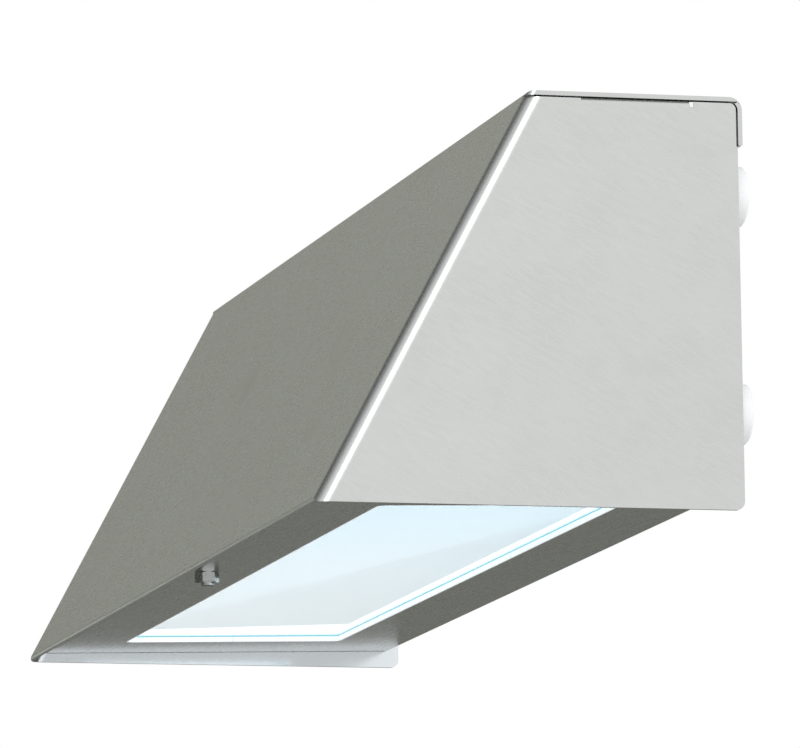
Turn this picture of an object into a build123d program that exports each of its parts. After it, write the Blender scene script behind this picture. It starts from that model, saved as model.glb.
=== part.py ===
from build123d import *
import math
import os

# Everything is in millimetres and drawn from the end plates' lower back edge:
# X runs along the hood, Y from the front to the wall, Z up. The last step moves it to the wall mount.

# Folded hood
hood_length = 611.0
hood_height = 185.0
top_depth = 96.0
bottom_depth = 196.0
sheet = 2.0
bend_inner = 4.0
side_bend_inner = 5.0
top_bend_inner = 2.0
top_sheet_corner = 3.5
panel_rise_front = 4.3
panel_rise_back = 8.5
panel_back_gap = 6.4
panel_side_gap = 1.2
panel_bend_inner = 2.0
panel_flange = 14.0
plate_corner = 4.0
front_edge_round = 2.0
lip_gap = 0.3
lip_notch = 0.6
lip_notch_clearance = 0.3
lip_height = 21.8
lip_edge_round = 0.7
plate_top_gap = 0.8
plate_top_gap_start = 2.5

# Tab at the top of each end plate, turned inwards under the top panel
tab_length = 50.0
tab_back = 22.0
tab_reach = 12.0
tab_bend_outer = 3.0
tab_relief = 2.0
tab_relief_depth = 3.4
sealant_thickness = 3.0
sealant_inset = 0.1
sealant_round = 0.3

# Window and what lies over it, measured on the bottom panel
window_length = 517.0
window_width = 112.0
window_front_border = 41.3
window_corner = 4.0
glass_overlap = 12.0
gasket_thickness = 1.1
gasket_rim = 0.8
gasket_rim_rise = 0.1
glass_thickness = 4.0
glass_edge_chamfer = 0.4
diffuser_thickness = 2.0
diffuser_inset = 1.0
retainer_sheet = 1.5
retainer_bend = 1.0
retainer_lip = 8.0
retainer_clearance = 0.5
rear_channel_foot = 13.0
retainer_length = 524.0

# Fixing of the glass clamp
stud_x = 23.5
stud_fold_gap = 2.35
stud_radius = 3.0
stud_tip = 1.7
stud_tip_chamfer = 0.6
stud_head_radius = 4.5
stud_head_height = 2.5
stud_hole_clearance = 0.25
nut_across_flats = 10.0
nut_height = 5.0
nut_thread_clearance = 0.05
nut_turn = 26.0
washer_radius = 4.4
washer_thickness = 1.0
clamp_foot_lead = 5.0

# Wall plate, spacers and cable entry
wall_gap = 7.0
fixing_inset = 19.5
upper_fixing_drop = 41.5
lower_fixing_height = 45.5
fixing_hole_radius = 3.0
spacer_radius = 13.5
spacer_chamfer = 0.6
wall_plate_thickness = 2.0
wall_plate_bottom = 14.0
wall_plate_side_gap = 1.5
wall_plate_corner = 3.0
hook_clearance = 0.1
cable_x = 70.0
cable_drop = 39.0
cable_radius = 5.5
grommet_neck = 3.5
grommet_flange = 3.0
grommet_flange_thickness = 2.2

# Gear tray and its brackets
tray_sheet = 1.2
tray_bend = 2.0
tray_drop = 65.8
tray_half_length = 292.0
tray_flat_back = 36.0
tray_flat_front = 112.0
tray_back_wing_depth = 14.0
tray_back_wing_drop = 47.2
tray_front_wing_depth = 139.0
tray_front_wing_drop = 43.2
bracket_sheet = 2.0
bracket_bend = 2.0
bracket_width = 30.0
bracket_x = 235.0
bracket_reach = 106.0
bracket_leg_height = 41.0
bracket_screw_heights = (15.0, 31.0)
tray_screw_depths = (48.0, 74.0)
m5_radius = 2.5
m5_tail = 5.3
m5_nut_flats = 8.0
m5_nut_height = 4.0
m4_radius = 2.0
m4_tail = 4.6
m4_nut_flats = 7.0
m4_nut_height = 3.2
screw_hole_clearance = 0.25
thread_clearance = 0.05

# Lamps and their holders
lamp_length = 549.0
lamp_radius = 8.0
lamp_wall = 0.8
lamp_depths = (93.0, 55.0)
lamp_drop = 21.0
cap_length = 10.0
cap_wall = 0.4
cap_rim_round = 1.0
pin_radius = 1.17
pin_spacing = 4.75
pin_length = 7.1
pin_root = 3.0
pin_tip_round = 0.5
pin_fit = 0.01
holder_width = 24.0
holder_thickness = 12.5
holder_below_axis = 12.0
holder_face_gap = 0.2
rotor_radius = 7.5
rotor_clearance = 0.05
rotor_length = 9.0
rotor_slot_depth = 7.1
rotor_end_gap = 0.2
pin_slot = 2.7

# Control gear
ballast_length = 360.0
ballast_width = 30.0
ballast_height = 21.0
ballast_depth = 92.0
ballast_round = 1.5
ballast_foot = 12.0
ballast_foot_thickness = 1.5
ballast_foot_inset = 2.0
terminal_length = 14.0
terminal_height = 15.0
wire_low = 8.0
wire_high = 12.0
wire_entry = 4.0
ballast_wire_steps = (-9.0, -3.0, 3.0, 9.0)
holder_wire_step = 3.0

# Mains terminal strip, cable clamp and earth stud
strip_x = -20.0
strip_depth = 56.0
strip_width = 20.0
strip_height = 14.0
strip_ear = 5.0
strip_ear_height = 3.0
pole_pitch = 9.0
pole_well_radius = 2.3
pole_well_depth = 5.0
pole_screw_radius = 1.1
pole_screw_length = 2.0
clamp_x = 35.0
clamp_width = 12.0
clamp_span = 30.0
clamp_base_height = 4.0
clamp_bar_height = 3.0
clamp_bar_corner = 3.0
clamp_gap = 8.0
clamp_screw_pitch = 24.0
m3_radius = 1.5
m3_tail = 3.0
earth_x = -170.0
earth_drop = 39.0
earth_stud_length = 12.0
tag_thickness = 0.8
tag_radius = 5.0
tag_barrel = 8.0

# Wires
supply_wire_radius = 1.2
lamp_wire_radius = 0.9
supply_turn_x = 214.0
supply_step = 8.0
supply_widest_bend = 14.0
supply_bend_straight = 0.4
earth_turn_x = -118.0
earth_run = 44.0
earth_bend = 20.0
lamp_wire_turn = 212.0
lamp_wire_run = 42.0
lamp_wire_sweep = 15.0
lamp_wire_bend = 9.0
wire_hole_radius = 1.4
wire_end_gap = 0.5

bend_outer = bend_inner + sheet
side_bend_outer = side_bend_inner + sheet
top_bend_outer = top_bend_inner + sheet
panel_bend_outer = panel_bend_inner + sheet
half_length = hood_length / 2
front_run = bottom_depth - top_depth
flank = math.hypot(front_run, hood_height)
panel_slope = (panel_rise_back - panel_rise_front) / (bottom_depth - panel_back_gap)
panel_angle = math.degrees(math.atan(panel_slope))
upper_fixing_z = hood_height - upper_fixing_drop
fixing_height = (upper_fixing_z + lower_fixing_height) / 2
cable_z = hood_height - cable_drop
earth_z = hood_height - earth_drop
tray_top = hood_height - tray_drop


def front_y(height, inset=0.0):
    """Depth of the front face at a height, moved inwards by a distance square to the face."""
    return -top_depth - (hood_height - height) * front_run / hood_height + inset * flank / hood_height


def panel_height(depth):
    """Height of the bottom panel's outer face at a depth."""
    return panel_rise_front + panel_slope * (depth + bottom_depth)


def folded_strip(points, thickness, inner_radius):
    """Section of a folded strip: the metal lies to the left of the points."""
    count = len(points)
    headings = []
    for i in range(count - 1):
        dy = points[i + 1][0] - points[i][0]
        dz = points[i + 1][1] - points[i][1]
        size = math.hypot(dy, dz)
        headings.append((dy / size, dz / size))
    far_side = []
    turns = []
    for i in range(count):
        before = headings[max(i - 1, 0)]
        after = headings[min(i, count - 2)]
        cross = before[0] * after[1] - before[1] * after[0]
        dot = before[0] * after[0] + before[1] * after[1]
        turns.append(cross)
        reach = thickness / (1 + dot)
        far_side.append((points[i][0] - reach * (before[1] + after[1]),
                         points[i][1] + reach * (before[0] + after[0])))
    section = make_face(Polyline(*points, *reversed(far_side), close=True))
    for i in range(1, count - 1):
        outer = inner_radius + thickness
        near_radius, far_radius = (outer, inner_radius) if turns[i] > 0 else (inner_radius, outer)
        for spot, radius in ((points[i], near_radius), (far_side[i], far_radius)):
            corner = section.vertices().sort_by_distance((spot[0], spot[1], 0))[0]
            section = fillet(corner, radius)
    return section


def extrude_x(section, low, high):
    """Extrude a section drawn in (Y, Z) between two X positions."""
    return Pos(low, 0, 0) * extrude(Plane.YZ * section, amount=high - low)


def block(x0, x1, y0, y1, z0, z1):
    return Pos((x0 + x1) / 2, (y0 + y1) / 2, (z0 + z1) / 2) * Box(x1 - x0, y1 - y0, z1 - z0)


def rod(start, direction, radius, length):
    """Round bar from a point along a direction."""
    return extrude(Plane(origin=start, z_dir=direction) * Circle(radius), amount=length)


def both_ends(shape):
    return [shape, mirror(shape, Plane.YZ)]


def hex_nut(across_flats, height, bore):
    """Hexagon nut on the XY plane, rising along +Z, with both rims chamfered."""
    corner = across_flats / math.cos(math.pi / 6) / 2
    body = extrude(RegularPolygon(radius=corner, side_count=6), amount=height)
    drop = (corner - across_flats / 2) * math.tan(math.radians(30))
    cone = Pos(0, 0, height / 2) * Cylinder(corner, height)
    cone = chamfer(cone.edges().filter_by(GeomType.CIRCLE), length=drop, length2=corner - across_flats / 2)
    return (body & cone) - Pos(0, 0, height / 2) * Cylinder(bore, height * 2)


def pan_screw(radius, length):
    """Cross-recessed pan-head screw: the head sits on the XY plane, the shank points down."""
    head_radius = 1.95 * radius
    head_height = 1.25 * radius
    head = Pos(0, 0, head_height / 2) * Cylinder(head_radius, head_height)
    head = fillet(head.edges().filter_by(GeomType.CIRCLE).sort_by(Axis.Z)[-1], 0.45 * head_height)
    shank = Pos(0, 0, -length / 2) * Cylinder(radius, length)
    shank = chamfer(shank.edges().filter_by(GeomType.CIRCLE).sort_by(Axis.Z)[0], 0.25 * radius)
    recess = 1.1 * head_radius
    cross = Box(recess, 0.36 * radius, head_height) + Box(0.36 * radius, recess, head_height)
    return head + shank - Pos(0, 0, head_height) * cross


def hood_wedge(inset, side_corner=side_bend_outer):
    """Wedge that bounds the hood inside its bends, drawn inside its outer faces by the inset."""
    top = hood_height - inset
    bottom = -hood_height / 4 - inset
    back = bend_outer * 4 + inset
    end = half_length - inset
    profile = make_face(Polyline((back, top), (front_y(top, inset), top), (front_y(bottom, inset), bottom),
                                 (back, bottom), close=True))
    corner = profile.vertices().sort_by_distance((front_y(top, inset), top, 0))[0]
    body = extrude_x(fillet(corner, top_bend_outer - inset), -end, end)
    down_slope = Plane(origin=(0, front_y(top, inset), top), x_dir=(1, 0, 0),
                       z_dir=(0, -front_run / flank, -hood_height / flank))
    depth = 2 * bottom_depth
    across = Pos(0, -depth / 2) * Rectangle(2 * end, depth)
    across = fillet(across.vertices().sort_by(Axis.Y)[-2:], side_corner - inset)
    return body & extrude(down_slope * across, amount=2 * flank, both=True)


# Frame of the bottom panel: local X along the hood, local Y along the panel to the wall, local Z through it
panel_plane = Plane(origin=(0, -bottom_depth, panel_rise_front), x_dir=(1, 0, 0),
                    z_dir=(0, -math.sin(math.radians(panel_angle)), math.cos(math.radians(panel_angle))))
on_panel = panel_plane.location


def panel_frame(x_half, y0, y1, z0, z1, corner=0.0):
    """Plate lying along the bottom panel, given in the panel's own frame."""
    body = block(-x_half, x_half, y0, y1, z0, z1)
    return fillet(body.edges().filter_by(Axis.Z), corner) if corner else body


# The panel's flange lies on the front's inner face: the bend's virtual corner, and where the panel is flat
fold_corner_z = ((panel_rise_front + panel_slope * sheet * flank / hood_height)
                 / (1 - panel_slope * front_run / hood_height))
fold_corner_y = front_y(fold_corner_z, sheet)
fold_half_angle = (math.atan2(hood_height, front_run) - math.radians(panel_angle)) / 2
fold_flat_start = fold_corner_y + bottom_depth + panel_bend_outer / math.tan(fold_half_angle)
stud_from_corner = fold_flat_start + stud_fold_gap + washer_radius

window_front = window_front_border
window_back = window_front + window_width
glass_front = window_front - glass_overlap
glass_back = window_back + glass_overlap
glass_half = window_length / 2 + glass_overlap
glass_under = sheet + gasket_thickness
diffuser_under = glass_under + glass_thickness
diffuser_over = diffuser_under + diffuser_thickness


def make_hood_shell():
    top_under = hood_height - sheet
    lip_outer = lip_gap + sheet
    fold_y = lip_outer - bend_outer
    fold_z = hood_height - bend_outer

    # Top, front and end plates as one rounded wedge, trimmed to the end plates' outline
    wedge = hood_wedge(0)
    shell = wedge - hood_wedge(sheet)
    front_limit = -bottom_depth - hood_height
    notch_low = hood_height - lip_height - lip_notch
    outline = make_face(Polyline((front_limit, 0), (0, 0), (0, notch_low), (-lip_notch, notch_low),
                                 (-lip_notch, top_under - plate_top_gap),
                                 (fold_y, top_under - plate_top_gap), (fold_y, hood_height * 1.1),
                                 (front_limit, hood_height * 1.1), close=True))
    outline = fillet(outline.vertices().sort_by_distance((0, 0, 0))[0], plate_corner)
    outline = fillet(outline.vertices().sort_by_distance((-lip_notch, top_under - plate_top_gap, 0))[0],
                     bend_inner - plate_top_gap - lip_notch_clearance)
    shell = shell & extrude_x(outline, -half_length * 1.1, half_length * 1.1)
    shell -= extrude_x(lower_front_edge(), -half_length * 1.1, half_length * 1.1)

    # The top sheet keeps nearly square corners over the rounded side bends
    corner_depth = front_y(top_under) - sheet
    shell += hood_wedge(0, top_sheet_corner) & block(-half_length, half_length, corner_depth,
                                                     -top_depth + 2 * side_bend_outer, top_under, hood_height)

    # The bottom panel is recessed behind the front's lower edge, with a flange on the front's inner face
    flange_top = fold_corner_z + panel_flange
    panel_end = (-panel_back_gap, panel_height(-panel_back_gap))
    fold = folded_strip([(front_y(flange_top, sheet), flange_top), (fold_corner_y, fold_corner_z), panel_end],
                        sheet, panel_bend_inner)
    panel_half = half_length - sheet - panel_side_gap
    shell += extrude_x(fold, -panel_half, panel_half) & wedge
    panel_length = (bottom_depth - panel_back_gap) / math.cos(math.radians(panel_angle))
    shell += on_panel * panel_frame(panel_half, fold_flat_start, panel_length, 0, sheet)

    # Back lip
    lip = folded_strip([(lip_outer, hood_height - lip_height), (lip_outer, hood_height),
                        (fold_y - bend_outer, hood_height)], sheet, bend_inner)
    lip = extrude_x(lip, -half_length, half_length)
    tips = [e for e in lip.edges().filter_by(Axis.X) if e.center().Z < hood_height - lip_height + sheet / 4]
    shell += fillet(tips, lip_edge_round)

    # Each end plate stops short of the top panel, and its tab turns in under the panel
    for side in (1, -1):
        outside = side * (half_length + 1)
        inside = side * (half_length - side_bend_outer)
        x0, x1 = min(outside, inside), max(outside, inside)
        slit_front = -top_depth + plate_top_gap_start
        shell -= block(x0, x1, slit_front, 1, top_under - plate_top_gap, top_under)
        shell -= block(x0, x1, -tab_back - tab_length, -tab_back + tab_relief,
                       top_under - tab_relief_depth, top_under)
    bend_top = top_under
    bend_in = half_length - tab_bend_outer
    tab_profile = folded_tab(bend_in, bend_top)
    tab = extrude(Plane.XZ * tab_profile, amount=tab_length)
    tab = Pos(0, -tab_back, 0) * tab
    for piece in both_ends(tab):
        shell += piece

    # Window and the hole for the stud
    window = panel_frame(window_length / 2, window_front, window_back, -sheet, 2 * sheet, window_corner)
    hole = Pos(stud_x, stud_from_corner, sheet / 2) * Cylinder(stud_radius + stud_hole_clearance, 3 * sheet)
    return shell - on_panel * window - on_panel * hole


def lower_front_edge():
    """What the rounding takes off the front's and the end plates' lower front edge, in (Y, Z)."""
    angle = math.atan2(hood_height, front_run)
    reach = front_edge_round / math.tan(angle / 2)
    tip = front_y(0)
    low = (tip + reach, 0)
    high = (tip + reach * math.cos(angle), reach * math.sin(angle))
    centre = (tip + reach, front_edge_round)
    margin = front_edge_round
    ring = make_face(Polyline(centre, low, (low[0], -margin), (tip - 2 * margin, -margin),
                              (high[0] - margin, high[1] + margin / 2), high, close=True))
    return ring - Pos(*centre) * Circle(front_edge_round)


def make_relief_sealant():
    """Bead that fills the relief beside each tab."""
    low = hood_height - sheet - tab_relief_depth
    high = hood_height - sheet - plate_top_gap
    outside = half_length - sealant_inset
    bead = block(outside - sealant_thickness, outside, -tab_back, -tab_back + tab_relief, low, high)
    bead = fillet(bead.faces().sort_by(Axis.X)[-1].edges(), sealant_round)
    return both_ends(bead)


def folded_tab(bend_in, bend_top):
    """Section of the tab in (X, Z): plate's edge, bend and the leg under the top panel."""
    low = bend_top - tab_relief_depth
    leg = [(half_length, low), (half_length, bend_top), (bend_in - tab_reach, bend_top)]
    return folded_strip(leg, sheet, tab_bend_outer - sheet)


def make_window_parts():
    inner = panel_frame(window_length / 2 - gasket_rim, window_front + gasket_rim, window_back - gasket_rim,
                        -sheet, 2 * glass_under, window_corner - gasket_rim)
    rim = panel_frame(window_length / 2, window_front, window_back, gasket_rim_rise, glass_under,
                      window_corner)
    gasket = panel_frame(glass_half, glass_front, glass_back, sheet, glass_under, window_corner)
    gasket += rim
    gasket -= inner
    glass = panel_frame(glass_half, glass_front, glass_back, glass_under, diffuser_under, window_corner)
    glass = chamfer(glass.edges().filter_by(Plane.XY), glass_edge_chamfer)
    diffuser = panel_frame(glass_half - diffuser_inset, glass_front + diffuser_inset,
                           glass_back - diffuser_inset, diffuser_under, diffuser_over, window_corner)
    riser = glass_back + retainer_clearance
    channel = folded_strip([(glass_back - retainer_lip, diffuser_over), (riser, diffuser_over),
                            (riser, sheet), (riser + rear_channel_foot, sheet)],
                           retainer_sheet, retainer_bend)
    foot_under = sheet + washer_thickness
    riser = glass_front - retainer_clearance
    clamp = folded_strip([(stud_from_corner - clamp_foot_lead, foot_under), (riser, foot_under),
                          (riser, diffuser_over), (glass_front + retainer_lip, diffuser_over)],
                         retainer_sheet, retainer_bend)
    half = retainer_length / 2
    channel = extrude_x(channel, -half, half)
    clamp = extrude_x(clamp, -half, half)
    hole = Pos(stud_x, stud_from_corner, foot_under) * Cylinder(stud_radius + stud_hole_clearance, 4 * sheet)
    clamp -= hole
    washer_middle = sheet + washer_thickness / 2
    washer = Pos(stud_x, stud_from_corner, washer_middle) * Cylinder(washer_radius, washer_thickness)
    washer -= hole
    head_under = foot_under + retainer_sheet
    head_middle = head_under + stud_head_height / 2
    head = Pos(stud_x, stud_from_corner, head_middle) * Cylinder(stud_head_radius, stud_head_height)
    head = chamfer(head.edges().filter_by(GeomType.CIRCLE).sort_by(Axis.Z)[-1], stud_tip_chamfer)
    shank_length = head_under + nut_height + stud_tip
    shank = Pos(stud_x, stud_from_corner, head_under - shank_length / 2) * Cylinder(stud_radius, shank_length)
    shank = chamfer(shank.edges().filter_by(GeomType.CIRCLE).sort_by(Axis.Z)[0], stud_tip_chamfer)
    nut = hex_nut(nut_across_flats, nut_height, stud_radius + nut_thread_clearance)
    nut = Pos(stud_x, stud_from_corner, -nut_height) * Rot(0, 0, nut_turn) * nut
    pieces = {"window_gasket": gasket, "glass_pane": glass, "diffuser_sheet": diffuser,
              "glass_rear_channel": channel, "glass_clamp_bar": clamp, "stud_sealing_washer": washer,
              "clamp_stud": head + shank, "fixing_nut": nut}
    return {name: on_panel * piece for name, piece in pieces.items()}


def fixing_points():
    x = half_length - fixing_inset
    return [(side * x, z) for side in (-1, 1) for z in (lower_fixing_height, upper_fixing_z)]


def bracket_screw_points():
    return [(sx * bracket_x, tray_top + height) for sx in (-1, 1) for height in bracket_screw_heights]


def tray_screw_points():
    return [(sx * bracket_x, -depth) for sx in (-1, 1) for depth in tray_screw_depths]


ballast_front = -ballast_depth - ballast_width / 2
ballast_back = -ballast_depth + ballast_width / 2
foot_front = ballast_front + ballast_foot_inset
foot_back = ballast_back - ballast_foot_inset
ballast_foot_x = ballast_length / 2 + terminal_length + ballast_foot / 2
strip_screw_points = [(strip_x, -strip_depth + s * (1.5 * pole_pitch + strip_ear / 2)) for s in (-1, 1)]
clamp_screw_points = [(clamp_x, -strip_depth + s * clamp_screw_pitch / 2) for s in (-1, 1)]
earth_point = (earth_x, -wall_plate_thickness, earth_z)


def make_wall_side():
    plate_half = half_length - sheet - wall_plate_side_gap
    seat_rise = math.sqrt(bend_inner ** 2 - (bend_inner - lip_gap) ** 2)
    plate_top = hood_height - bend_outer + seat_rise - hook_clearance
    plate = block(-plate_half, plate_half, -wall_plate_thickness, 0, wall_plate_bottom, plate_top)
    plate = fillet(plate.edges().filter_by(Axis.Y), wall_plate_corner)
    through = (0, 1, 0)
    for x, z in fixing_points():
        plate -= rod((x, -sheet * 3, z), through, fixing_hole_radius, sheet * 6)
    for x, z in bracket_screw_points():
        plate -= rod((x, -sheet * 3, z), through, m5_radius + screw_hole_clearance, sheet * 6)
    neck = cable_radius + grommet_neck
    plate -= rod((cable_x, -sheet * 3, cable_z), through, neck, sheet * 6)

    spacers = []
    for x, z in fixing_points():
        spacer = rod((x, 0, z), through, spacer_radius, wall_gap)
        spacer = chamfer(spacer.edges().filter_by(GeomType.CIRCLE), spacer_chamfer)
        spacers.append(spacer - rod((x, -1, z), through, fixing_hole_radius, wall_gap + 2))

    flange = neck + grommet_flange
    front = -wall_plate_thickness - grommet_flange_thickness
    grommet = rod((cable_x, -wall_plate_thickness, cable_z), through, neck, wall_plate_thickness)
    for start in (front, 0):
        grommet += rod((cable_x, start, cable_z), through, flange, grommet_flange_thickness)
    rims = grommet.edges().filter_by(GeomType.CIRCLE)
    rims = [e for e in rims if abs(e.radius - flange) < 0.01]
    grommet = fillet(rims, grommet_flange_thickness * 0.3)
    grommet -= rod((cable_x, front - 1, cable_z), through, cable_radius, wall_gap * 3)

    stud = rod(earth_point, (0, -1, 0), m5_radius, earth_stud_length)
    stud = chamfer(stud.edges().filter_by(GeomType.CIRCLE).sort_by(Axis.Y)[0], stud_tip_chamfer)
    tag_y = -wall_plate_thickness - tag_thickness
    tag = rod((earth_x, -wall_plate_thickness, earth_z), (0, -1, 0), tag_radius, tag_thickness)
    tag += block(earth_x, earth_x + tag_radius + tag_barrel, tag_y, -wall_plate_thickness,
                 earth_z - wire_hole_radius, earth_z + wire_hole_radius)
    barrel_y = tag_y - wire_hole_radius
    barrel_start = (earth_x + tag_radius, barrel_y, earth_z)
    barrel = rod(barrel_start, (1, 0, 0), wire_hole_radius + tag_thickness, tag_barrel)
    barrel -= rod((earth_x, barrel_y, earth_z), (1, 0, 0), wire_hole_radius, 4 * tag_barrel)
    tag += barrel
    tag -= rod((earth_x, 1, earth_z), (0, -1, 0), m5_radius + thread_clearance, 4 * sheet)
    nut = hex_nut(m5_nut_flats, m5_nut_height, m5_radius + thread_clearance)
    nut = Plane(origin=(earth_x, tag_y, earth_z), z_dir=(0, -1, 0)).location * nut
    return {"wall_plate": plate, "wall_spacers": spacers, "cable_grommet": grommet,
            "earth_stud": stud, "earth_tag": tag, "earth_nut": nut}


def make_tray_side():
    up = (0, 0, 1)
    tray_under = tray_top - tray_sheet
    tray = folded_strip([(-tray_back_wing_depth, tray_top - tray_back_wing_drop), (-tray_flat_back, tray_top),
                         (-tray_flat_front, tray_top),
                         (-tray_front_wing_depth, tray_top - tray_front_wing_drop)],
                        tray_sheet, tray_bend)
    tray = extrude_x(tray, -tray_half_length, tray_half_length)
    for x, y in tray_screw_points():
        tray -= rod((x, y, tray_under - sheet), up, m4_radius + screw_hole_clearance, 3 * sheet)
    for s in (-1, 1):
        foot_hole = (s * ballast_foot_x, -ballast_depth, tray_under - sheet)
        tray -= rod(foot_hole, up, m4_radius + thread_clearance, 3 * sheet)
    for x, y in strip_screw_points + clamp_screw_points:
        tray -= rod((x, y, tray_under - sheet), up, m3_radius + thread_clearance, 3 * sheet)
    for x, y in holder_wire_points():
        tray -= rod((x, y, tray_under - sheet), up, wire_hole_radius + screw_hole_clearance, 3 * sheet)

    bracket = folded_strip([(-bracket_reach, tray_top), (-wall_plate_thickness, tray_top),
                            (-wall_plate_thickness, tray_top + bracket_leg_height)],
                           bracket_sheet, bracket_bend)
    brackets = []
    screws, nuts, tray_screws, tray_nuts = [], [], [], []
    leg_face = -wall_plate_thickness - bracket_sheet
    bracket_over = tray_top + bracket_sheet
    for side in (-1, 1):
        piece = extrude_x(bracket, side * bracket_x - bracket_width / 2, side * bracket_x + bracket_width / 2)
        for x, z in bracket_screw_points():
            piece -= rod((x, -3 * sheet, z), (0, 1, 0), m5_radius + screw_hole_clearance, 6 * sheet)
        for x, y in tray_screw_points():
            piece -= rod((x, y, tray_under), up, m4_radius + screw_hole_clearance, 3 * sheet)
        brackets.append(piece)
    for x, z in bracket_screw_points():
        screw = pan_screw(m5_radius, bracket_sheet + wall_plate_thickness + m5_tail)
        screws.append(Plane(origin=(x, leg_face, z), z_dir=(0, -1, 0)).location * screw)
        nut = hex_nut(m5_nut_flats, m5_nut_height, m5_radius + thread_clearance)
        nuts.append(Plane(origin=(x, 0, z), z_dir=(0, 1, 0)).location * nut)
    for x, y in tray_screw_points():
        screw = pan_screw(m4_radius, tray_sheet + bracket_sheet + m4_tail)
        tray_screws.append(Plane(origin=(x, y, tray_under), z_dir=(0, 0, -1)).location * screw)
        nut = hex_nut(m4_nut_flats, m4_nut_height, m4_radius + thread_clearance)
        tray_nuts.append(Pos(x, y, bracket_over) * nut)
    return {"gear_tray": tray, "tray_brackets": brackets, "bracket_screws": screws, "bracket_nuts": nuts,
            "tray_screws": tray_screws, "tray_nuts": tray_nuts}


def make_gear():
    half = ballast_length / 2
    case = block(-half, half, ballast_front, ballast_back, tray_top, tray_top + ballast_height)
    case = fillet(case.edges().filter_by(Axis.X), ballast_round)
    for side in (-1, 1):
        x0 = side * half
        x1 = side * (ballast_foot_x + ballast_foot / 2)
        foot = block(min(x0, x1), max(x0, x1), foot_front, foot_back,
                     tray_top, tray_top + ballast_foot_thickness)
        case += foot - rod((side * ballast_foot_x, -ballast_depth, tray_top - 1), (0, 0, 1),
                           m4_radius + screw_hole_clearance, 2 * sheet)
    terminals, ballast_screws = [], []
    for side in (-1, 1):
        x0, x1 = side * half, side * (half + terminal_length)
        body = block(min(x0, x1), max(x0, x1), foot_front, foot_back,
                     tray_top + ballast_foot_thickness, tray_top + terminal_height)
        for y, height, radius in ballast_wire_points(side):
            body -= rod((x1, y, tray_top + height), (-side, 0, 0), radius + thread_clearance, wire_entry)
        terminals.append(body)
        screw = pan_screw(m4_radius, ballast_foot_thickness + tray_sheet + m4_tail)
        head_place = Pos(side * ballast_foot_x, -ballast_depth, tray_top + ballast_foot_thickness)
        ballast_screws.append(head_place * screw)

    strip_half = 1.5 * pole_pitch + strip_ear
    strip = block(strip_x - strip_width / 2, strip_x + strip_width / 2, -strip_depth - strip_half,
                  -strip_depth + strip_half, tray_top, tray_top + strip_height)
    pole_screws, strip_screws = [], []
    for y in pole_depths():
        for side in (-1, 1):
            x = strip_x + side * strip_width / 4
            well_floor = tray_top + strip_height - pole_well_depth
            strip -= rod((x, y, well_floor), (0, 0, 1), pole_well_radius, strip_height)
            screw = pan_screw(pole_screw_radius, pole_screw_length)
            pole_screws.append(Pos(x, y, well_floor + pole_screw_length) * screw)
            face = strip_x + side * strip_width / 2
            strip -= rod((face, y, tray_top + wire_low), (-side, 0, 0), wire_hole_radius, wire_entry)
    for x, y in strip_screw_points:
        strip -= rod((x, y, tray_top - 1), (0, 0, 1), m3_radius + thread_clearance, strip_height * 2)
        strip -= rod((x, y, tray_top + strip_ear_height), (0, 0, 1), 2.1 * m3_radius, strip_height * 2)
        screw = pan_screw(m3_radius, strip_ear_height + tray_sheet + m3_tail)
        strip_screws.append(Pos(x, y, tray_top + strip_ear_height) * screw)

    x0, x1 = clamp_x - clamp_width / 2, clamp_x + clamp_width / 2
    y0, y1 = -strip_depth - clamp_span / 2, -strip_depth + clamp_span / 2
    base = block(x0, x1, y0, y1, tray_top, tray_top + clamp_base_height)
    bar_under = tray_top + clamp_base_height + clamp_gap
    bar = block(x0, x1, y0, y1, bar_under, bar_under + clamp_bar_height)
    bar = fillet(bar.edges().filter_by(Axis.Z), clamp_bar_corner)
    clamp_screws = []
    for x, y in clamp_screw_points:
        hole = rod((x, y, tray_top - 1), (0, 0, 1), m3_radius + thread_clearance, strip_height * 3)
        base -= hole
        bar -= hole
        length = clamp_bar_height + clamp_gap + clamp_base_height + tray_sheet + m3_tail
        clamp_screws.append(Pos(x, y, bar_under + clamp_bar_height) * pan_screw(m3_radius, length))
    return {"ballast_case": case, "ballast_terminals": terminals, "ballast_screws": ballast_screws,
            "terminal_strip": strip, "terminal_screws": pole_screws, "terminal_strip_screws": strip_screws,
            "cable_clamp_base": base, "cable_clamp_bar": bar, "cable_clamp_screws": clamp_screws}


def pole_depths():
    return [-strip_depth + k * pole_pitch for k in (-1, 0, 1)]


def ballast_wire_points(side):
    """Wire entries in a ballast terminal: (Y, height over the tray, radius)."""
    entries = [(-ballast_depth + s, wire_high, lamp_wire_radius) for s in ballast_wire_steps]
    if side < 0:
        entries += [(-ballast_depth + s, wire_low, supply_wire_radius) for s in ballast_wire_steps[2:]]
    return entries


def holder_wire_points():
    x = lamp_length / 2 + holder_face_gap + holder_thickness / 2
    return [(side * x, -depth + s) for side in (-1, 1) for depth in lamp_depths
            for s in (-holder_wire_step, holder_wire_step)]


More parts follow.
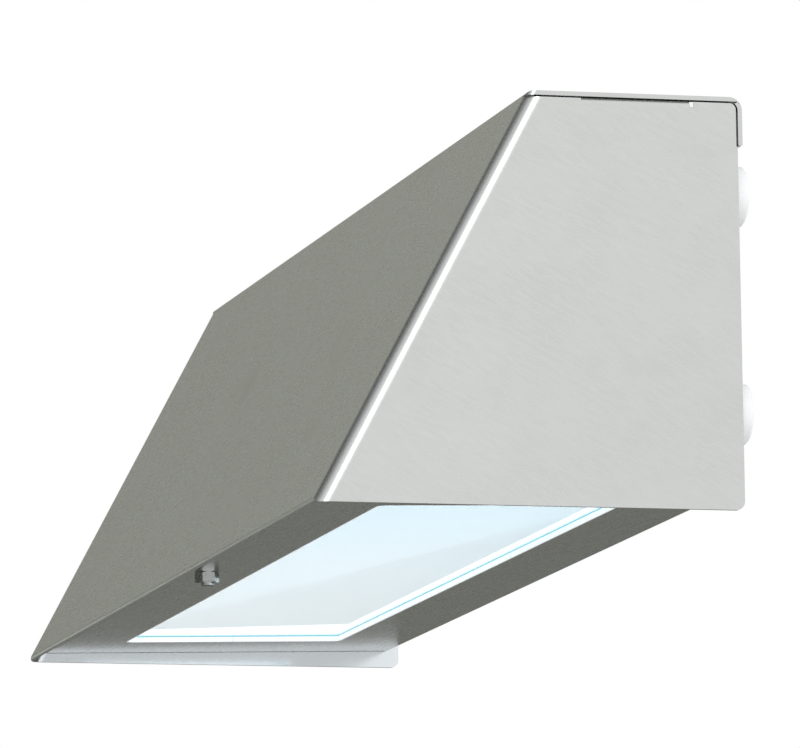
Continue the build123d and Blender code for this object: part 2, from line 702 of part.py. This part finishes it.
def make_lamps():
    axis_z = tray_top - tray_sheet - lamp_drop
    face = lamp_length / 2
    pieces = {"lampholders": []}
    for name, depth in zip(("front", "rear"), lamp_depths):
        y = -depth
        tube = rod((-face + cap_length / 2, y, axis_z), (1, 0, 0), lamp_radius, lamp_length - cap_length)
        tube -= rod((-face, y, axis_z), (1, 0, 0), lamp_radius - lamp_wall, lamp_length)
        caps, pins, rotors = [], [], []
        for side in (-1, 1):
            out = (side, 0, 0)
            start = side * (face - cap_length)
            cap = rod((start, y, axis_z), out, lamp_radius + cap_wall, cap_length)
            cap -= rod((start, y, axis_z), out, lamp_radius + thread_clearance, cap_length / 2)
            cap = fillet(cap.edges().filter_by(GeomType.CIRCLE).sort_by(Axis.X)[-1 if side > 0 else 0],
                         cap_rim_round)
            inner = face + holder_face_gap
            rotor_start = inner
            rotor = rod((side * rotor_start, y, axis_z), out, rotor_radius, rotor_length)
            r0, r1 = side * rotor_start, side * (rotor_start + rotor_slot_depth)
            rotors.append(rotor - block(min(r0, r1), max(r0, r1), y - 2 * rotor_radius, y + 2 * rotor_radius,
                                        axis_z - pin_slot / 2, axis_z + pin_slot / 2))
            for s in (-1, 1):
                pin_y = y + s * pin_spacing / 2
                pin = rod((side * (face - pin_root), pin_y, axis_z), out, pin_radius, pin_length + pin_root)
                pin = fillet(pin.edges().filter_by(GeomType.CIRCLE).sort_by(Axis.X)[-1 if side > 0 else 0],
                             pin_tip_round)
                pins.append(pin)
                cap -= rod((side * (face - pin_root), pin_y, axis_z), out, pin_radius + pin_fit, pin_length)
            caps.append(cap)
            x0, x1 = side * inner, side * (inner + holder_thickness)
            holder = block(min(x0, x1), max(x0, x1), y - holder_width / 2, y + holder_width / 2,
                           axis_z - holder_below_axis, tray_top - tray_sheet)
            low_edges = holder.edges().filter_by(Axis.X).sort_by(Axis.Z)[:2]
            holder = fillet(low_edges, holder_below_axis * 0.6)
            depth_in = rotor_length + rotor_end_gap
            holder -= rod((side * inner, y, axis_z), out, rotor_radius + rotor_clearance, depth_in)
            s0, s1 = side * inner, side * (inner + depth_in)
            holder -= block(min(s0, s1), max(s0, s1), y - pin_slot / 2, y + pin_slot / 2,
                            axis_z - 2 * holder_below_axis, axis_z)
            pieces["lampholders"].append(holder)
        pieces[f"lamp_{name}_tube"] = tube
        pieces[f"lamp_{name}_caps"] = caps
        pieces[f"lamp_{name}_pins"] = pins
        pieces[f"lamp_{name}_rotors"] = rotors
    return pieces


def wire(points, radius, bends):
    """Insulated wire along straight runs joined by tangent arcs."""
    path = FilletPolyline(*points, radius=bends)
    tube = sweep(Plane(origin=path @ 0, z_dir=path % 0) * Circle(radius), path=path)
    expected = math.pi * radius ** 2 * path.length
    print(f"wire length {path.length:.0f} mm, bends {bends} mm, volume ratio {tube.volume / expected:.3f}")
    return tube


def make_wires():
    low = tray_top + wire_low
    high = tray_top + wire_high
    inside = wire_entry - wire_end_gap
    strip_left = strip_x - strip_width / 2 + inside
    ballast_end = ballast_length / 2 + terminal_length
    supply = []
    for k in (0, 1):
        pole = pole_depths()[k]
        y = -ballast_depth + ballast_wire_steps[3 - k]
        turn = supply_turn_x + k * supply_step
        bend = min((abs(pole - y) - supply_bend_straight) / 2, supply_widest_bend)
        supply.append(wire([(strip_left, pole, low), (-turn, pole, low), (-turn, y, low),
                            (-ballast_end + inside, y, low)], supply_wire_radius, [bend, bend]))
    barrel_y = -wall_plate_thickness - tag_thickness - wire_hole_radius
    pole = pole_depths()[2]
    earth_end = earth_x + tag_radius + wire_end_gap
    earth = wire([(strip_left, pole, low), (earth_turn_x + earth_run, pole, low),
                  (earth_turn_x, barrel_y, earth_z), (earth_end, barrel_y, earth_z)],
                 supply_wire_radius, [earth_bend, earth_bend])
    lamp_wires = []
    holder_top = tray_top - tray_sheet
    for side in (-1, 1):
        ends = [point for point in holder_wire_points() if point[0] * side > 0]
        ends.sort(key=lambda point: point[1])
        for (x, y), (entry_y, height, radius) in zip(ends, ballast_wire_points(side)):
            start = side * (ballast_end - inside)
            lamp_wires.append(wire([(start, entry_y, high), (side * lamp_wire_turn, entry_y, high),
                                    (side * (lamp_wire_turn + lamp_wire_run), y, high), (x, y, high),
                                    (x, y, holder_top)], radius,
                                   [lamp_wire_sweep, lamp_wire_sweep, lamp_wire_bend]))
    return {"supply_wires": supply, "earth_wire": earth, "lamp_wires": lamp_wires}


def export_all(pieces):
    os.makedirs("parts", exist_ok=True)
    place = Pos(0, -wall_gap, -fixing_height)
    for name, piece in pieces.items():
        solids = [place * one for one in (piece if isinstance(piece, list) else [piece])]
        shape = solids[0] if len(solids) == 1 else Compound(children=solids)
        export_step(shape, f"parts/{name}.step")


if __name__ == "__main__":
    pieces = {"hood_shell": make_hood_shell(), "relief_sealant": make_relief_sealant()}
    pieces.update(make_window_parts())
    pieces.update(make_wall_side())
    pieces.update(make_tray_side())
    pieces.update(make_gear())
    pieces.update(make_lamps())
    pieces.update(make_wires())
    export_all(pieces)
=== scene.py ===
import bpy
import math
from mathutils import Matrix, Vector

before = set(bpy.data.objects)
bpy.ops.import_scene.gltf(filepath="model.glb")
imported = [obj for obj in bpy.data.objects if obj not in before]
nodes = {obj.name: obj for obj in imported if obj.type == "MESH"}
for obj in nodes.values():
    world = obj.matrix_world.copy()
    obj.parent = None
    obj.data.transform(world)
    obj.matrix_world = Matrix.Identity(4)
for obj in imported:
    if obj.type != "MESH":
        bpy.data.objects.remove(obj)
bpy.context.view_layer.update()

# Sizes of the hood in metres, as in the part
hood_height = 0.185
front_run = 0.100
hood_lower_edge = -0.0945
hood_front = -0.203
bottom_depth = 0.196
panel_back_gap = 0.0064
panel_rise_front = 0.0043
panel_rise_back = 0.0085
pane_over_panel = 0.0031
window_front_border = 0.0413
window_half_width = 0.056

# The sheet was brushed along its length on the front, so the grain lies square to the front on the end plates
front_slope = math.atan2(hood_height, front_run)
grain_drop = math.pi / 2 - front_slope

# The bottom panel's slope, the height of the pane's underside carried on to the wall, and the window's middle
panel_slope = (panel_rise_back - panel_rise_front) / (bottom_depth - panel_back_gap)
pane_under = hood_lower_edge + panel_rise_front + pane_over_panel - panel_slope * hood_front
window_middle = hood_front + window_front_border + window_half_width


# Camera, fitted to the photo's straight edges: these four are in its pixels
picture_width = 800
picture_height = 748
focal_length = 7553.78
optical_centre = (398.107, 378.633)

# The camera's film width in millimetres, its place in metres and the way it looks
film_width = 36.0
camera_at = Vector((3.4561, -0.9872, -0.5402))
camera_right = Vector((0.25070, 0.96797, -0.01365))
camera_down = Vector((-0.15041, 0.02502, -0.98831))
camera_ahead = Vector((-0.95631, 0.24982, 0.15186))


def place_camera():
    lens = bpy.data.cameras.new("camera")
    lens.sensor_width = film_width
    lens.lens = focal_length / picture_width * film_width
    lens.shift_x = (picture_width / 2 - optical_centre[0]) / picture_width
    lens.shift_y = (optical_centre[1] - picture_height / 2) / picture_width
    lens.clip_start = 0.1
    lens.clip_end = 60.0
    camera = bpy.data.objects.new("camera", lens)
    bpy.context.scene.collection.objects.link(camera)
    turn = Matrix((camera_right, -camera_down, -camera_ahead)).transposed()
    camera.matrix_world = Matrix.Translation(camera_at) @ turn.to_4x4()
    bpy.context.scene.camera = camera


place_camera()
bpy.context.scene.view_settings.view_transform = "Standard"


# Shader maths

class Socket:
    """An output socket of a finish's node: maths on it adds Math nodes."""

    def __init__(self, finish, link):
        self.finish = finish
        self.link = link

    def maths(self, operation, *values):
        """The result of one Math node on sockets or numbers."""
        return self.finish.add("ShaderNodeMath", {"operation": operation}, dict(enumerate(values)))

    def __add__(self, other):
        return self.maths("ADD", self, other)

    __radd__ = __add__

    def __sub__(self, other):
        return self.maths("SUBTRACT", self, other)

    def __rsub__(self, other):
        return self.maths("SUBTRACT", other, self)

    def __mul__(self, other):
        return self.maths("MULTIPLY", self, other)

    __rmul__ = __mul__

    def clamped(self, low, high):
        """How far the value lies between low and high, from 0 to 1."""
        return self.finish.add("ShaderNodeMapRange", {"clamp": True},
                               {"Value": self, "From Min": low, "From Max": high})

    def absolute(self):
        return self.maths("ABSOLUTE", self)


class Finish:
    """One real finish of the lamp as a procedural material."""

    def __init__(self, name, **constants):
        self.material = bpy.data.materials.new(name)
        self.material.use_nodes = True
        self.nodes = self.material.node_tree.nodes
        self.links = self.material.node_tree.links
        self.shader = self.nodes["Principled BSDF"]
        for socket, value in constants.items():
            self.shader.inputs[socket.replace("_", " ")].default_value = value
        self.place = self.add("ShaderNodeTexCoord", output="Object")

    def add(self, kind, settings=None, inputs=None, output=0):
        """Add a node: its settings first, then the values or links of its sockets."""
        node = self.nodes.new(kind)
        for name, value in (settings or {}).items():
            if name == "stops":
                stops = node.color_ramp.elements
                while len(stops) < len(value):
                    stops.new(1.0)
                for stop, (position, colour) in zip(stops, value):
                    stop.position = position
                    stop.color = (*colour, 1.0)
            else:
                setattr(node, name, value)
        for name, value in (inputs or {}).items():
            socket = node.inputs[name]
            if isinstance(value, Socket):
                self.links.new(value.link, socket)
            elif isinstance(value, tuple) and len(value) == 3 and socket.type == "RGBA":
                socket.default_value = (*value, 1.0)
            else:
                socket.default_value = value
        return Socket(self, node.outputs[output])

    def drive(self, **values):
        """Link varying values to the shader's own sockets."""
        for name, value in values.items():
            self.links.new(value.link, self.shader.inputs[name.replace("_", " ")])

    def turned(self, scale=(1.0, 1.0, 1.0), rotation=(0.0, 0.0, 0.0)):
        """The place on the piece, stretched and turned to follow a grain."""
        return self.add("ShaderNodeMapping", inputs={"Vector": self.place, "Scale": scale,
                                                     "Rotation": rotation})

    def noise(self, vector, scale, detail=2.0, roughness=0.5):
        return self.add("ShaderNodeTexNoise", inputs={"Vector": vector, "Scale": scale, "Detail": detail,
                                                     "Roughness": roughness})

    def axis(self, name):
        return self.add("ShaderNodeSeparateXYZ", inputs={"Vector": self.place}, output=name)

    def blend(self, factor, low, high):
        """A colour between two colours."""
        return self.add("ShaderNodeMix", {"data_type": "RGBA"}, {"Factor": factor, 6: low, 7: high}, output=2)

    def bump(self, height, depth, strength=1.0):
        return self.add("ShaderNodeBump", inputs={"Height": height, "Distance": depth, "Strength": strength})


def wear(finish, *names):
    """Give a finish to the named pieces of the part."""
    for name in names:
        slots = nodes[name].data.materials
        slots.clear()
        slots.append(finish.material)


def satin_steel():
    """Folded stainless sheet with a fine brushed grain and faint handling smudges."""
    steel = Finish("satin_steel", Metallic=1.0)
    facing = steel.add("ShaderNodeNewGeometry", output="Normal")
    sideways = steel.add("ShaderNodeSeparateXYZ", inputs={"Vector": facing}, output="X")
    end_plate = sideways.absolute().clamped(0.5, 0.75)
    inside = (sideways * steel.axis("X")).clamped(-0.05, -0.10)
    along = steel.noise(steel.turned(scale=(60.0, 900.0, 900.0)), 1.0, 3.0, 0.65)
    square_to_front = steel.add("ShaderNodeMapping", inputs={
        "Vector": steel.turned(rotation=(grain_drop, 0.0, 0.0)), "Scale": (900.0, 90.0, 620.0)})
    across = steel.noise(square_to_front, 1.0, 3.0, 0.65)
    grain = along + (across - along) * end_plate
    mottle = steel.noise(steel.place, 34.0, 5.0, 0.6)
    cloud = steel.noise(steel.place, 7.0, 3.0, 0.5)
    elsewhere = steel.add("ShaderNodeMapping", inputs={"Vector": steel.place, "Location": (3.1, 0.4, 1.7)})
    smudge = steel.noise(elsewhere, 11.0, 3.0, 0.5).clamped(0.63, 0.76)
    tone = grain * 0.40 + mottle * 0.35 + cloud * 0.25
    colour = steel.blend(tone.clamped(0.34, 0.66), (0.585, 0.593, 0.580), (0.632, 0.644, 0.637))
    colour = steel.blend(smudge * 0.4, colour, (0.50, 0.485, 0.455))
    # The end plates' inner faces get a paler, bluish mill finish: partly the sheet's real unbrushed side,
    # partly painted light from the lit window.
    colour = steel.blend(inside, colour, (0.76, 0.80, 0.83))
    roughness = 0.20 + grain * 0.10 + mottle * 0.06 + smudge * 0.05 - inside * 0.12
    steel.drive(Base_Color=colour, Roughness=roughness, Normal=steel.bump(grain, 0.00002, 0.35))
    return steel


def bright_steel(name, dark, pale, roughness):
    """Stainless fastener with fine marks from the tool."""
    steel = Finish(name, Metallic=1.0)
    turning = steel.noise(steel.turned(scale=(900.0, 900.0, 2500.0)), 1.0, 2.0)
    colour = steel.blend(turning.clamped(0.35, 0.65), dark, pale)
    steel.drive(Base_Color=colour, Roughness=roughness + turning * 0.14,
                Normal=steel.bump(turning, 0.00002, 0.5))
    return steel


def zinc_plate():
    """Zinc-plated steel with its pale spangle."""
    zinc = Finish("zinc_plate", Metallic=1.0)
    spangle = zinc.add("ShaderNodeTexVoronoi", inputs={"Vector": zinc.place, "Scale": 90.0}, output="Color")
    cell = zinc.add("ShaderNodeSeparateColor", inputs={"Color": spangle})
    cloud = zinc.noise(zinc.place, 40.0, 3.0)
    colour = zinc.blend(cell * 0.6 + cloud * 0.4, (0.46, 0.47, 0.49), (0.60, 0.61, 0.62))
    zinc.drive(Base_Color=colour, Roughness=0.38 + cell * 0.14, Normal=zinc.bump(cloud, 0.00005, 0.4))
    return zinc


def white_enamel():
    """Stoved white enamel with a little orange peel."""
    enamel = Finish("white_enamel", Coat_Weight=0.4, Coat_Roughness=0.12)
    peel = enamel.noise(enamel.place, 420.0, 2.0)
    cloud = enamel.noise(enamel.place, 12.0, 3.0)
    enamel.drive(Base_Color=enamel.blend(cloud, (0.80, 0.80, 0.78), (0.86, 0.86, 0.85)),
                 Roughness=0.32 + cloud * 0.10, Normal=enamel.bump(peel, 0.00006, 0.5))
    return enamel


def moulded(name, dark, pale, roughness, grain_scale=900.0, **constants):
    """Moulded plastic or rubber with a fine spark-eroded grain."""
    plastic = Finish(name, **constants)
    grain = plastic.noise(plastic.place, grain_scale, 2.0)
    cloud = plastic.noise(plastic.place, 35.0, 3.0)
    plastic.drive(Base_Color=plastic.blend(cloud.clamped(0.3, 0.7), dark, pale),
                  Roughness=roughness + grain * 0.12, Normal=plastic.bump(grain, 0.00003, 0.5))
    return plastic


def glazing_tape():
    """White glazing tape, glowing faintly with painted light, with a painted green shadow just under the
    pane's edge and a painted shadow line at the joint in the middle of each end.
    """
    shadow_line_low, shadow_line_high = 0.0007, 0.0004
    joint_outside, joint_inside = 0.0004, 0.0001
    # The tape's faint glow is painted light from the lit opal sheet beside it.
    tape = Finish("glazing_tape", Emission_Strength=0.12)
    grain = tape.noise(tape.place, 900.0, 2.0)
    cloud = tape.noise(tape.place, 35.0, 3.0)
    height = tape.axis("Z") - tape.axis("Y") * panel_slope
    # Painted green shadow of the pane's edge along the tape.
    pane_edge_shadow = height.clamped(pane_under - shadow_line_low, pane_under - shadow_line_high)
    depth = tape.axis("Y")
    # Painted shadow line at the butt joint in the middle of each end.
    joint_shadow = (depth - window_middle).absolute().clamped(joint_outside, joint_inside)
    white = tape.blend(cloud.clamped(0.3, 0.7), (0.88, 0.90, 0.91), (0.94, 0.95, 0.96))
    colour = tape.blend(pane_edge_shadow, white, (0.20, 0.55, 0.62))
    colour = tape.blend(joint_shadow * 0.6, colour, (0.30, 0.58, 0.70))
    painted_glow = tape.blend(pane_edge_shadow, (1.0, 1.0, 1.0), (0.10, 0.35, 0.42))
    tape.drive(Base_Color=colour, Emission_Color=painted_glow, Roughness=0.5 + grain * 0.12,
               Normal=tape.bump(grain, 0.00003, 0.4))
    return tape


def lit_opal():
    """Opal sheet over the window; its glow is painted light standing in for the lit lamps above, dimmer and
    bluer towards the near end and tinted teal towards the back.
    """
    opal = Finish("lit_opal", Emission_Strength=0.93)
    length = opal.axis("X")
    depth = opal.axis("Y")
    speckle = opal.noise(opal.place, 1500.0, 1.0)
    # Painted light: the glow's colour shifts along the window's length.
    end = length.clamped(-0.25, 0.25)
    stops = ((0.0, (0.88, 0.90, 0.95)), (0.5, (0.85, 0.915, 0.987)), (1.0, (0.705, 0.842, 0.963)))
    colour = opal.add("ShaderNodeValToRGB", {"stops": stops}, {"Fac": end})
    # Painted teal tint in the glow, rising towards the back of the window.
    painted_tint_towards_back = depth.clamped(-0.165, -0.05)
    painted_glow = opal.blend(painted_tint_towards_back * 0.12, colour, (0.70, 0.84, 0.88))
    opal.drive(Base_Color=opal.blend(speckle, (0.80, 0.83, 0.84), (0.86, 0.88, 0.89)), Emission_Color=painted_glow,
               Roughness=0.35 + speckle * 0.1)
    return opal


def float_glass():
    """Toughened float glass with its green cast."""
    glass = Finish("float_glass", Transmission_Weight=1.0, IOR=1.52)
    ripple = glass.noise(glass.place, 14.0, 2.0)
    glass.drive(Base_Color=glass.blend(ripple, (0.90, 0.985, 0.975), (0.93, 0.99, 0.985)),
                Roughness=0.01 + ripple * 0.015, Normal=glass.bump(ripple, 0.00004, 0.3))
    return glass


def lamp_glass():
    """Lamp tube: phosphor seen through thin glass, glowing."""
    lamp = Finish("lamp_glass", Emission_Strength=1.2, Coat_Weight=0.6, Coat_Roughness=0.04)
    powder = lamp.noise(lamp.place, 260.0, 3.0)
    end = lamp.axis("X")
    near_end = end.absolute().clamped(0.22, 0.268)
    lamp.drive(Base_Color=lamp.blend(powder, (0.88, 0.90, 0.91), (0.93, 0.94, 0.94)),
               Emission_Color=lamp.blend(near_end, (0.95, 0.985, 1.0), (0.62, 0.60, 0.56)),
               Roughness=0.35 + powder * 0.1)
    return lamp


def turned_brass():
    """Brass turned on a lathe."""
    brass = Finish("turned_brass", Metallic=1.0)
    turning = brass.noise(brass.turned(scale=(600.0, 600.0, 2400.0)), 1.0, 2.0)
    brass.drive(Base_Color=brass.blend(turning, (0.62, 0.46, 0.22), (0.78, 0.62, 0.34)),
                Roughness=0.22 + turning * 0.16, Normal=brass.bump(turning, 0.00002, 0.4))
    return brass


def spun_aluminium():
    """Aluminium cap with rings from spinning."""
    cap = Finish("spun_aluminium", Metallic=1.0)
    rings = cap.noise(cap.turned(scale=(3000.0, 120.0, 120.0)), 1.0, 2.0)
    cap.drive(Base_Color=cap.blend(rings, (0.68, 0.69, 0.70), (0.82, 0.83, 0.83)),
              Roughness=0.28 + rings * 0.14, Normal=cap.bump(rings, 0.00002, 0.5))
    return cap


def banded_wire():
    """Earth insulation in green and yellow bands."""
    wire = Finish("earth_wire")
    bands = wire.add("ShaderNodeTexWave", {"wave_type": "BANDS", "bands_direction": "Z"},
                     {"Vector": wire.place, "Scale": 150.0, "Distortion": 0.6})
    soft = wire.noise(wire.place, 300.0, 2.0)
    wire.drive(Base_Color=wire.blend(bands.clamped(0.45, 0.55), (0.05, 0.30, 0.08), (0.80, 0.68, 0.05)),
               Roughness=0.42 + soft * 0.12, Normal=wire.bump(soft, 0.00002, 0.4))
    return wire


def two_wires():
    """Supply insulation: brown on the wire nearer the wall, blue on the other."""
    wire = Finish("supply_wires")
    soft = wire.noise(wire.place, 300.0, 2.0)
    nearer = wire.axis("Y").clamped(-0.0875, -0.0873)
    colour = wire.blend(nearer, (0.03, 0.10, 0.42), (0.20, 0.08, 0.03))
    wire.drive(Base_Color=wire.blend(soft * 0.2, colour, (0.30, 0.30, 0.32)), Roughness=0.42 + soft * 0.12,
               Normal=wire.bump(soft, 0.00002, 0.4))
    return wire


wear(satin_steel(), "hood_shell", "glass_rear_channel", "glass_clamp_bar")
# The fixing nut and clamp stud get a darker copy of the fastener steel: painted shade for the dark room their
# flats mirror.
wear(bright_steel("painted_shade_fastener", (0.42, 0.425, 0.42), (0.58, 0.59, 0.59), 0.06),
     "fixing_nut", "clamp_stud")
wear(bright_steel("bright_fastener", (0.60, 0.60, 0.59), (0.74, 0.74, 0.73), 0.16),
     "earth_stud", "earth_tag", "bracket_screws", "bracket_nuts", "tray_screws", "tray_nuts",
     "ballast_screws", "terminal_strip_screws", "cable_clamp_screws")
wear(zinc_plate(), "wall_plate", "tray_brackets")
wear(white_enamel(), "gear_tray")
# The white nylon spacers glow faintly: painted light that brightens them.
wear(moulded("white_nylon", (0.93, 0.94, 0.95), (0.96, 0.97, 0.97), 0.40, Emission_Strength=0.12),
     "wall_spacers")
wear(glazing_tape(), "window_gasket")
# The white sealant plugs in the rear bend reliefs paint the bright spot of light seen there.
wear(moulded("white_sealant_painted_highlight", (0.86, 0.87, 0.87), (0.93, 0.94, 0.94), 0.45), "relief_sealant")
wear(moulded("black_rubber", (0.020, 0.020, 0.021), (0.035, 0.035, 0.036), 0.60),
     "stud_sealing_washer", "cable_grommet")
wear(moulded("white_plastic", (0.78, 0.78, 0.75), (0.85, 0.85, 0.82), 0.42),
     "lampholders", "lamp_front_rotors", "lamp_rear_rotors", "ballast_terminals", "terminal_strip",
     "cable_clamp_base", "cable_clamp_bar")
wear(moulded("grey_case", (0.60, 0.61, 0.62), (0.68, 0.69, 0.70), 0.36), "ballast_case")
wear(moulded("lamp_wires", (0.78, 0.78, 0.74), (0.85, 0.85, 0.81), 0.42, 300.0), "lamp_wires")
wear(lit_opal(), "diffuser_sheet")
wear(float_glass(), "glass_pane")
wear(lamp_glass(), "lamp_front_tube", "lamp_rear_tube")
wear(spun_aluminium(), "lamp_front_caps", "lamp_rear_caps")
wear(turned_brass(), "lamp_front_pins", "lamp_rear_pins", "terminal_screws", "earth_nut")
wear(banded_wire(), "earth_wire")
wear(two_wires(), "supply_wires")


# Room

floor_height = -1.2
lying = (0.0, 0.0, 0.0)
facing_end = (0.0, math.pi / 2, 0.0)
facing_front = (math.pi / 2, 0.0, 0.0)


def plane(name, size, at, rotation):
    """Square sheet of the room."""
    bpy.ops.object.select_all(action="DESELECT")
    bpy.ops.mesh.primitive_plane_add(size=size, location=at, rotation=rotation)
    piece = bpy.context.object
    piece.name = name
    bpy.ops.object.transform_apply(location=True, rotation=True, scale=True)
    return piece


def matt(name, **constants):
    return Finish(name, Roughness=0.8, Specular_IOR_Level=0.1, **constants)


def plain(name, colour):
    return matt(name, Base_Color=(*colour, 1.0)).material


floor = plane("floor", 6.0, (0.0, -1.0, floor_height), lying)
floor.data.materials.append(plain("floor_paint", (0.80, 0.80, 0.79)))
floor.visible_glossy = False


def far_wall_paint():
    """Matt grey wall, a little darker towards the floor and the house wall."""
    paint = matt("far_wall_paint")
    height = paint.axis("Z").clamped(floor_height, 1.6)
    side = paint.axis("Y").clamped(-1.0, 2.0)
    shade = (1.0 - side) * 0.35 + height * 0.65
    paint.drive(Base_Color=paint.blend(shade, (0.150, 0.152, 0.135), (0.420, 0.425, 0.375)))
    return paint.material


def front_wall_paint():
    """Dark grey wall that fades to white past the lamp's near end."""
    paint = matt("front_wall_paint")
    shade = paint.axis("X").clamped(-2.3, 2.8)
    soft = paint.noise(paint.place, 0.8, 1.0)
    paint.drive(Base_Color=paint.blend(shade * shade * 0.9 + soft * 0.04, (0.10, 0.10, 0.095),
                                       (0.95, 0.95, 0.95)))
    return paint.material


def mirrored_wall(name, paint, size, at, rotation):
    """Grey studio wall that only the steel's reflections show."""
    wall = plane(name, size, at, rotation)
    wall.data.materials.append(paint)
    wall.visible_camera = False
    wall.visible_diffuse = False
    wall.visible_transmission = False
    wall.visible_shadow = False


mirrored_wall("far_wall", far_wall_paint(), 9.0, (-4.0, 0.0, 0.5), facing_end)
mirrored_wall("front_wall", front_wall_paint(), 9.0, (-0.2, -4.0, 1.6), facing_front)
mirrored_wall("mirrored_floor", plain("mirrored_floor_paint", (0.26, 0.26, 0.24)), 6.0,
              (-1.4, -1.0, floor_height - 0.01), lying)
mirrored_wall("house_wall", plain("house_wall_paint", (0.12, 0.12, 0.11)), 6.0, (-1.6, 2.6, 1.6),
              facing_front)


def make_room():
    """White to the camera, in reflections and through glass, a little softer as a source of light."""
    world = bpy.data.worlds.new("room")
    bpy.context.scene.world = world
    world.use_nodes = True
    tree = world.node_tree
    background = tree.nodes["Background"]
    background.inputs["Color"].default_value = (0.98, 0.99, 1.0, 1.0)
    background.inputs["Strength"].default_value = 0.95
    white = tree.nodes.new("ShaderNodeBackground")
    white.inputs["Color"].default_value = (1.0, 1.0, 1.0, 1.0)
    white.inputs["Strength"].default_value = 1.0
    rays = tree.nodes.new("ShaderNodeLightPath")
    seen = rays.outputs["Is Camera Ray"]
    for kind in ("Is Glossy Ray", "Is Transmission Ray"):
        either = tree.nodes.new("ShaderNodeMath")
        either.operation = "MAXIMUM"
        tree.links.new(seen, either.inputs[0])
        tree.links.new(rays.outputs[kind], either.inputs[1])
        seen = either.outputs[0]
    mix = tree.nodes.new("ShaderNodeMixShader")
    tree.links.new(seen, mix.inputs[0])
    tree.links.new(background.outputs[0], mix.inputs[1])
    tree.links.new(white.outputs[0], mix.inputs[2])
    tree.links.new(mix.outputs[0], tree.nodes["World Output"].inputs["Surface"])


make_room()


def softbox(name, at, towards, size, power):
    """Soft rectangular lamp of the studio, turned towards a point."""
    light = bpy.data.lights.new(name, "AREA")
    light.shape = "RECTANGLE"
    light.size, light.size_y = size
    light.energy = power
    lamp = bpy.data.objects.new(name, light)
    bpy.context.scene.collection.objects.link(lamp)
    lamp.location = at
    lamp.rotation_euler = (Vector(towards) - Vector(at)).to_track_quat("-Z", "Y").to_euler()


hood_middle = (0.0, -0.1, 0.0)
softbox("near_softbox", (3.1, -0.8, 1.5), hood_middle, (1.4, 0.8), 14.0)
softbox("lower_edge_softbox", (-3.2, -0.85, -0.25), hood_middle, (0.5, 0.5), 0.45)
